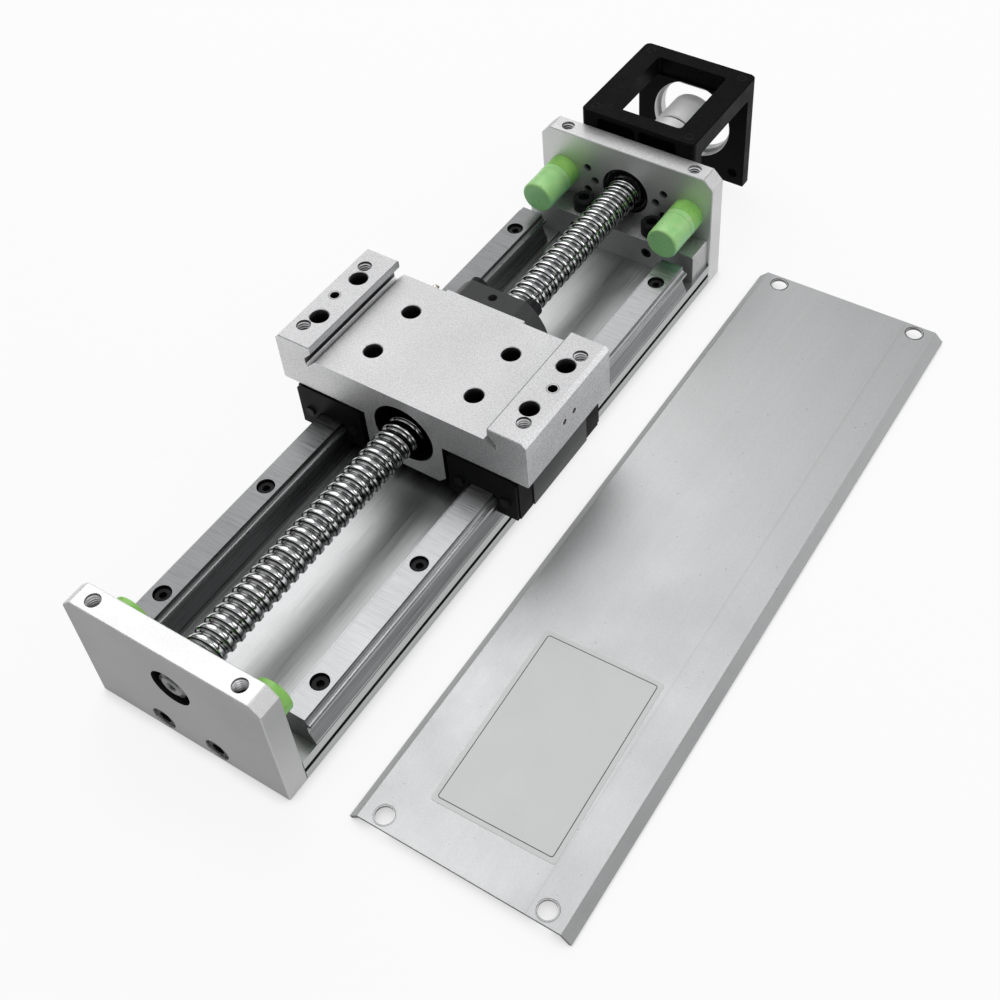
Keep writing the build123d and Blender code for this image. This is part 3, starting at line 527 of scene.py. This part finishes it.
def cast_black(name, base, rough):
    """Black bracket: light grain, round ejector marks in its roof with painted highlights on their
    rims, and a bare pilot bore.
    """
    paint = moulded(name, base, rough, shine=0.04)
    grain = paint.noise(1500.0, detail=3.0, rough=0.7)
    tone = paint.blend(grain, base, scaled(base, 4.0), 0.45, 0.75)
    place = paint.parts(paint.place)
    back = paint.math("SUBTRACT", place["Y"], BRACKET_MIDDLE * MM)
    from_mark = paint.length(paint.beyond(place["X"], EJECTOR_X * MM),
                             paint.beyond(back, EJECTOR_Y * MM))
    off = paint.distance(from_mark, EJECTOR_RADIUS * MM)
    paint.bump(paint.span(off, 0.0, 1.0, 0.0, 0.25 * MM), 0.06, 0.8)
    # Painted highlight: a lighter ring along each ejector mark's rim
    tone = paint.multiply(tone, paint.span(off, 5.0, 1.0, 0.05 * MM, 0.25 * MM))
    inside = paint.math("LESS_THAN", paint.axis_radius(), PILOT_RADIUS * MM)
    behind = paint.math("GREATER_THAN", back, (PILOT_START - BRACKET_MIDDLE) * MM)
    bare = paint.math("MULTIPLY", inside, behind)
    paint.colour(paint.mixed(bare, tone, PILOT_METAL))
    paint.link(bare, paint.bsdf.inputs["Metallic"])
    return paint


def oxide(name, base, rough, blotches=2.6):
    """Black oxide on steel: dark, oily, slightly blotchy."""
    paint = Paint(name)
    paint.set(rough=rough, Specular_IOR_Level=0.09)
    blotch = paint.noise(420.0, detail=4.0, rough=0.6)
    tone = paint.blend(blotch, base, scaled(base, blotches))
    # Painted shade in narrow crevices
    paint.colour(paint.multiply(tone, paint.cavity_shade(0.2, reach=3.0 * MM)))
    paint.gloss(blotch, rough - 0.1, rough + 0.12)
    paint.bump(paint.noise(3000.0, detail=2.0), 0.02, 0.4)
    return paint


def polished(name, base, rough):
    """Ground and polished steel with faint wiping marks."""
    paint = Paint(name)
    paint.set(metal=1.0, rough=rough)
    marks = paint.noise(900.0, detail=3.0, rough=0.6, stretch=(1.0, 6.0, 1.0))
    paint.colour(paint.blend(marks, scaled(base, 0.9), base))
    paint.gloss(marks, rough - 0.04, rough + 0.08)
    paint.bump(marks, 0.006, 0.4)
    return paint


def thread_steel(name, base, rough):
    """Ball screw steel: painted highlights on lands and groove bottoms, painted shade on the
    flanks, fine turned rings.
    """
    paint = Paint(name)
    paint.set(metal=1.0, rough=rough)
    bottom, crest = (SCREW_CREST - GROOVE_DEPTH) * MM, SCREW_CREST * MM
    height = paint.span(paint.axis_radius(), 0.0, 1.0, bottom, crest)
    rings = paint.noise(2200.0, detail=2.0, rough=0.6, stretch=(0.15, 1.0, 0.15))
    tone = paint.blend(rings, scaled(base, 0.70), scaled(base, 1.25))
    paint.colour(paint.multiply(tone, paint.ramp(height, FLANK_PAINTED_LIGHT)))
    paint.gloss(rings, rough - 0.04, rough + 0.10)
    paint.bump(rings, 0.02, 0.5)
    return paint


def turned_end(name, base, rough):
    """Turned journal: rings about the screw's axis that fade into each other."""
    paint = Paint(name)
    paint.set(metal=1.0, rough=rough)
    rings = paint.math("PINGPONG", paint.axis_radius(), JOURNAL_RING)
    tone = paint.blend(rings, scaled(base, 0.55), base, 0.0, JOURNAL_RING)
    paint.colour(paint.darken(tone, paint.noise(600.0, detail=4.0), 0.7))
    paint.gloss(rings, rough, rough + 0.12, 0.0, JOURNAL_RING)
    paint.bump(rings, 0.2, 0.2)
    return paint


def cut_thread(name, base, rough, top):
    """Freshly cut thread with painted shade that deepens below the hole's mouth."""
    paint = Paint(name)
    paint.set(metal=1.0, rough=rough)
    depth = paint.math("SUBTRACT", top * MM, paint.parts(paint.place)["Z"])
    marks = paint.noise(1800.0, detail=2.0)
    tone = paint.blend(marks, scaled(base, 0.85), base)
    # Painted shade with depth
    paint.colour(paint.multiply(tone, paint.span(depth, 1.0, 0.02, 2.5 * MM, 7.5 * MM)))
    paint.gloss(marks, rough - 0.05, rough + 0.08)
    paint.bump(marks, 0.01, 0.3)
    return paint


def soft_green(name, base, deep, clear):
    """Cast polyurethane: satin, a little translucent, cloudy, with a painted bluish shade on faces
    that look down.
    """
    paint = Paint(name)
    paint.set(rough=0.32, Transmission_Weight=clear, IOR=1.45, Subsurface_Weight=0.35,
              Subsurface_Scale=4.0 * MM)
    # Painted shade, bluish, on faces that look down
    under = paint.span(paint.normal()["Z"], 0.5, 0.0, -0.6, 0.5)
    tone = paint.blend(paint.noise(160.0), deep, base)
    bluish_shade = [part * share for part, share in zip(deep, (0.5, 0.85, 1.7))]
    paint.colour(paint.mixed(under, tone, bluish_shade))
    paint.gloss(paint.noise(700.0), 0.26, 0.42)
    paint.bump(paint.noise(1500.0, detail=2.0), 0.02, 0.3)
    return paint


ALUMINIUM = (0.56, 0.56, 0.565)
CUT_ALUMINIUM = (0.80, 0.80, 0.81)
ALONG_Y = (1.0, 0.02, 1.0)
ACROSS_Y = (1.0, 14.0, 1.0)

PAINTS = {
    "plates": blasted("blasted_aluminium", ALUMINIUM, 0.46),
    "carriage": carriage_metal("carriage_aluminium", ALUMINIUM, 0.46),
    # Front plate: painted shade on its upright and front faces, near black inside its bore
    "front": blasted("front_plate_aluminium", (0.97, 0.97, 0.975), 0.52, grit=0.12, sides=0.65,
                     front=0.645, bore=FRONT_BORE_RADIUS),
    "rear": blasted("rear_plate_aluminium", (0.72, 0.72, 0.725), 0.46, grit=0.16),
    "base": streaked("base_extrusion_metal", (0.485, 0.495, 0.495), 0.36, ALONG_Y),
    "rails": ground_rail("rail_steel", (0.37, 0.375, 0.38), 0.34),
    # Left rail: a darker copy of the same rail steel, painted shade
    "left_rail_shaded": ground_rail("left_rail_steel", (0.205, 0.208, 0.21), 0.32),
    "blocks": streaked("guide_block_steel", (0.085, 0.087, 0.09), 0.34, (1.0, 0.03, 1.0)),
    "polished": polished("polished_steel", (0.52, 0.525, 0.53), 0.10),
    "lead": thread_steel("thread_steel", (0.65, 0.655, 0.66), 0.09),
    "journal": turned_end("journal_steel", (0.24, 0.242, 0.245), 0.30),
    "screws": oxide("black_oxide", (0.008, 0.008, 0.009), 0.38),
    "nut": oxide("dark_nut_steel", (0.056, 0.057, 0.058), 0.40, blotches=1.25),
    "green": soft_green("green_rubber", (0.40, 0.82, 0.20), (0.28, 0.66, 0.13), 0.1),
    "pale": soft_green("pale_green_rubber", (0.55, 0.96, 0.41), (0.42, 0.84, 0.30), 0.2),
    "bracket": cast_black("black_bracket", (0.003, 0.003, 0.0032), 0.42),
    "coupling": streaked("coupling_aluminium", (0.95, 0.95, 0.95), 0.50, ACROSS_Y, fine=300.0,
                         contrast=0.05, metal=0.3),
    "plastic": moulded("black_plastic", (0.007, 0.007, 0.007), 0.42),
    "nipple": polished("nipple_zinc", (0.72, 0.69, 0.62), 0.22),
    "cover": sheet_metal("cover_sheet", (0.545, 0.55, 0.553), 0.48),
    "plate_thread": cut_thread("plate_thread_metal", CUT_ALUMINIUM, 0.30, PLATE_THREAD_TOP),
    "strip_thread": cut_thread("strip_thread_metal", CUT_ALUMINIUM, 0.30, STRIP_THREAD_TOP),
    # Hole rims: real rounded edges, their dark polish is painted shade at the holes' mouths
    "rim": polished("turned_rim", (0.24, 0.24, 0.245), 0.16),
    "label": film("label_film", (0.70, 0.715, 0.705), 0.40),
    "label_ink": film("label_ink", (0.05, 0.05, 0.05), 0.45),
}

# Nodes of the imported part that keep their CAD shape, by paint
FINISHES = {
    "plates": ("support_block",),
    "carriage": ("carriage_plate",),
    "front": ("front_plate",),
    "rear": ("rear_plate",),
    "base": ("base_extrusion",),
    "rails": ("rail_right",),
    "left_rail_shaded": ("rail_left",),
    "blocks": ("guide_block_left", "guide_block_right"),
    "polished": (
        "ball_screw", "front_bearing_outer_ring", "front_bearing_inner_ring",
        "front_bearing_balls", "rear_bearing_outer_rings", "rear_bearing_inner_rings",
        "rear_bearing_balls", "guide_balls_left", "guide_balls_right",
    ),
    "screws": (
        "rail_screws", "front_plate_screws", "rear_plate_screws", "support_block_screws",
        "support_block_grub_screws", "bracket_screws", "carriage_screws", "cap_screws",
        "nut_screws", "coupling_clamp_screws", "rear_retaining_ring", "lock_nut",
    ),
    "nut": ("ball_nut",),
    "green": ("bumpers_front", "bumpers_rear"),
    "pale": ("bumper_tips",),
    "bracket": ("motor_bracket",),
    "coupling": ("coupling_hub_screw_side", "coupling_hub_motor_side"),
    "plastic": (
        "end_caps_left", "end_caps_right", "end_seals_left", "end_seals_right", "nut_wipers",
        "front_bearing_seals", "rear_bearing_seals", "coupling_spider",
    ),
    "nipple": ("grease_nipple",),
    "cover": ("cover_plate",),
}


def finish_nodes():
    """Give every carried-over node its material."""
    for paint, nodes in FINISHES.items():
        for node in nodes:
            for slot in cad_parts[node].material_slots:
                slot.material = PAINTS[paint].material


# Pieces

def add_mesh(name, verts, faces, paint, smooth=True):
    """New object from vertices in metres and faces."""
    mesh = bpy.data.meshes.new(name)
    mesh.from_pydata(verts, [], faces)
    mesh.validate()
    mesh.materials.append(PAINTS[paint].material)
    if smooth:
        mesh.shade_smooth()
    return link_object(bpy.data.objects.new(name, mesh))


def in_metres(points, rise=0.0):
    """Points in millimetres turned into metres, after raising them."""
    return [(x * MM, y * MM, (z + rise) * MM) for x, y, z in points]


def bands(rings, steps, first, flipped=False):
    """Faces between closed rings of so many points, counted from a first vertex."""
    faces = []
    for ring in range(rings - 1):
        for step in range(steps):
            here = first + ring * steps + step
            beside = first + ring * steps + (step + 1) % steps
            face = (here, beside, beside + steps, here + steps)
            faces.append((face[0], face[3], face[2], face[1]) if flipped else face)
    return faces


def top_of(node):
    """Height of a CAD node's top, in metres."""
    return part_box(node)[1].z


# Ball screw: a right-hand thread of round grooves, and the journals at its ends

SCREW_LEAD = 5.0
GROOVE_RADIUS = 1.65
GROOVE_PARTS = 10
CREST_ROUND = 0.12
SCREW_STEPS = 60
THREAD_FROM = -150.0
THREAD_TO = 150.0
# Journals as (radius, y) points
FRONT_JOURNAL = ((0.0, -153.0), (1.6, -153.0), (1.6, -158.7), (2.4, -159.5), (4.2, -159.5),
                 (4.6, -159.1), (4.6, -158.9), (5.9, -158.9), (5.9, -157.6), (5.0, -157.6),
                 (5.0, -150.0), (7.6, -150.0))
REAR_JOURNAL = ((7.6, 150.0), (7.4, 150.0), (7.4, 152.0), (6.0, 152.0), (6.0, 170.0),
                (5.0, 170.0), (5.0, 192.0), (4.5, 192.5), (0.0, 192.5))


def groove_section():
    """Screw along one lead, as (distance, radius) points: a land, then a round groove."""
    half = math.sqrt(GROOVE_RADIUS ** 2 - (GROOVE_RADIUS - GROOVE_DEPTH) ** 2)
    land = SCREW_LEAD - 2 * half
    points = [(0.0, SCREW_CREST - CREST_ROUND), (CREST_ROUND, SCREW_CREST),
              (land - CREST_ROUND, SCREW_CREST), (land, SCREW_CREST - CREST_ROUND)]
    centre = SCREW_CREST - GROOVE_DEPTH + GROOVE_RADIUS
    for step in range(1, GROOVE_PARTS):
        across = -half + 2 * half * step / GROOVE_PARTS
        depth = math.sqrt(GROOVE_RADIUS ** 2 - across ** 2)
        points.append((land + half + across, centre - depth))
    return points


def about_y(radius, y, angle):
    """Point at an angle about the Y axis, from up towards the right."""
    return (radius * math.sin(angle), y, radius * math.cos(angle))


def helix(section, lead, start, end, steps):
    """Vertices and faces of a right-hand thread along Y, held between two places."""
    verts, faces = [], []
    columns = len(section)
    turns = math.ceil((end - start) / lead) + 2
    rows = turns * steps
    for row in range(rows + 1):
        for along, radius in section:
            y = start - lead * 1.5 + lead * row / steps + along
            verts.append(about_y(radius, min(max(y, start), end), FULL_TURN * row / steps))
    for row in range(rows):
        for column in range(columns):
            here = row * columns + column
            beside = here + 1
            if column == columns - 1:
                beside += (steps - 1) * columns
            above = beside + columns
            if above < len(verts):
                faces.append((here, beside, above, here + columns))
    return verts, faces


def add_ball_screw():
    """Ball screw with its real grooves, in place of the plain bar."""
    verts, faces = helix(groove_section(), SCREW_LEAD, THREAD_FROM, THREAD_TO, SCREW_STEPS)
    thread_faces = len(faces)
    for journal in (FRONT_JOURNAL, REAR_JOURNAL):
        faces += bands(len(journal), SCREW_STEPS, len(verts))
        verts += [about_y(radius, y, FULL_TURN * step / SCREW_STEPS)
                  for radius, y in journal for step in range(SCREW_STEPS)]
    screw = add_mesh("ball_screw_thread", in_metres(verts, SCREW_HEIGHT), faces, "lead")
    screw.data.materials.append(PAINTS["journal"].material)
    for polygon in screw.data.polygons[thread_faces:]:
        polygon.material_index = 1
    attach(screw, "screw")
    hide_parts("ball_screw")


# Threads cut in the tapped holes

TAP_RADIUS = 3.04
TAP_PITCH = 1.25
TAP_START = 0.6
RIDGE_HEIGHT = 0.5
RIDGE_HALF = 0.26
TAP_STEPS = 36
COVER_TAP_DEPTH = 9.0
FIXTURE_TAP_DEPTH = 10.0


def add_thread(name, body, paint, places, depth):
    """Thin thread ridges in upright holes; each place is the middle of a hole's mouth."""
    verts, faces = [], []
    rows = int(depth / TAP_PITCH * TAP_STEPS)
    ridge = ((TAP_RADIUS, -RIDGE_HALF), (TAP_RADIUS - RIDGE_HEIGHT, 0.0), (TAP_RADIUS, RIDGE_HALF))
    for x, y, z in places:
        first = len(verts)
        for row in range(rows + 1):
            angle = FULL_TURN * row / TAP_STEPS
            drop = TAP_PITCH * (TAP_START + row / TAP_STEPS)
            for reach, side in ridge:
                verts.append((x + reach * math.cos(angle), y - reach * math.sin(angle),
                              z - drop - side * TAP_PITCH))
        for row in range(rows):
            for column in range(2):
                here = first + row * 3 + column
                faces.append((here, here + 1, here + 4, here + 3))
    piece = add_mesh(name, in_metres(verts), faces, paint, smooth=False)
    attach(piece, body)


def add_threads():
    """Threads in the end plates' cover holes and in the carriage's fixture holes."""
    plate_top = top_of("front_plate") / MM
    strip_top = top_of("carriage_plate") / MM
    cover_holes = [(x, y, plate_top) for x in (-COVER_TAP_X, COVER_TAP_X)
                   for y in (-COVER_TAP_Y, COVER_TAP_Y)]
    fixture_holes = [(x, CARRIAGE_Y + y, strip_top) for x in (-FIXTURE_TAP_X, FIXTURE_TAP_X)
                     for y in (-FIXTURE_TAP_Y, FIXTURE_TAP_Y)]
    add_thread("end_plate_threads", "base", "plate_thread", cover_holes, COVER_TAP_DEPTH)
    add_thread("carriage_threads", "carriage", "strip_thread", fixture_holes, FIXTURE_TAP_DEPTH)


# Turned rims in the cover's holes and in the carriage's dowel holes, as (radius, rise) points

COVER_RIM = ((4.3, 0.01), (4.1, 0.05), (3.8, 0.03), (3.55, -0.15), (3.45, -0.4), (3.45, -1.1))
DOWEL_RIM = ((2.75, 0.01), (2.6, 0.03), (2.3, 0.02), (1.98, -0.1), (1.97, -0.8))
RIM_STEPS = 48


def add_rims(name, body, places, node, section):
    """Small rounded rims in the mouths of upright holes, at the node's top."""
    top = top_of(node) / MM
    verts, faces = [], []
    for middle in places:
        faces += bands(len(section), RIM_STEPS, len(verts), flipped=True)
        for radius, rise in section:
            for step in range(RIM_STEPS):
                angle = FULL_TURN * step / RIM_STEPS
                verts.append((middle.x + radius * math.cos(angle),
                              middle.y + radius * math.sin(angle), top + rise))
    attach(add_mesh(name, in_metres(verts), faces, "rim"), body)


def add_hole_rims():
    """Rims of the four cover holes and of the two dowel holes."""
    turn = Matrix.Rotation(COVER_TURN, 2)
    corners = [(x, COVER_HALF_LENGTH + y) for y in (-COVER_TAP_Y, COVER_TAP_Y)
               for x in (-COVER_TAP_X, COVER_TAP_X)]
    places = [turn @ Vector(corner) + Vector(COVER_PLACE) for corner in corners]
    add_rims("cover_hole_rims", "cover", places, "cover_plate", COVER_RIM)
    places = [Vector((x, CARRIAGE_Y)) for x in (-FIXTURE_TAP_X, FIXTURE_TAP_X)]
    add_rims("dowel_hole_rims", "carriage", places, "carriage_plate", DOWEL_RIM)


# Blank label on the cover

LABEL_MIDDLE = (112.5, -94.8)
LABEL_SIZE = (50.4, 80.2)
LABEL_TURN = 1.9
LABEL_CORNER = 1.2
LABEL_THICK = 0.12
LABEL_FRAME_INSET = 1.8
LABEL_FRAME_WIDTH = 0.35
LABEL_FRAME_RISE = 0.01
CORNER_STEPS = 6


def rounded(width, height, corner):
    """Points of a rectangle with round corners, in order."""
    points = []
    for quarter, (sx, sy) in enumerate(((1, 1), (-1, 1), (-1, -1), (1, -1))):
        for step in range(CORNER_STEPS + 1):
            angle = FULL_TURN / 4 * (quarter + step / CORNER_STEPS)
            points.append((sx * (width / 2 - corner) + corner * math.cos(angle),
                           sy * (height / 2 - corner) + corner * math.sin(angle)))
    return points


def add_label_piece(name, points, faces, paint, rise):
    """One flat piece of the label, turned and shifted onto the cover."""
    piece = add_mesh(name, in_metres(points), faces, paint, smooth=False)
    piece.rotation_euler.z = math.radians(LABEL_TURN)
    piece.location = (LABEL_MIDDLE[0] * MM, LABEL_MIDDLE[1] * MM, top_of("cover_plate") + rise * MM)
    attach(piece, "cover")


def add_label():
    """Generic blank label: a pale film with a thin printed frame, no words or signs."""
    ring = rounded(*LABEL_SIZE, LABEL_CORNER)
    count = len(ring)
    sides = bands(2, count, 0)
    points = [(x, y, z) for z in (0.0, LABEL_THICK) for x, y in ring]
    add_label_piece("label_film", points, [tuple(range(count, 2 * count))] + sides, "label", 0.0)
    outer = [size - 2 * LABEL_FRAME_INSET for size in LABEL_SIZE]
    inner = [size - 2 * LABEL_FRAME_WIDTH for size in outer]
    lines = rounded(*outer, LABEL_CORNER) + rounded(*inner, LABEL_CORNER - LABEL_FRAME_WIDTH)
    add_label_piece("label_border", [(x, y, 0.0) for x, y in lines], sides, "label_ink",
                    LABEL_THICK + LABEL_FRAME_RISE)


add_camera()
add_lamps()
add_world()
add_floor()
finish_nodes()
add_ball_screw()
add_threads()
add_hole_rims()
add_label()

bpy.context.scene.view_settings.view_transform = "Standard"
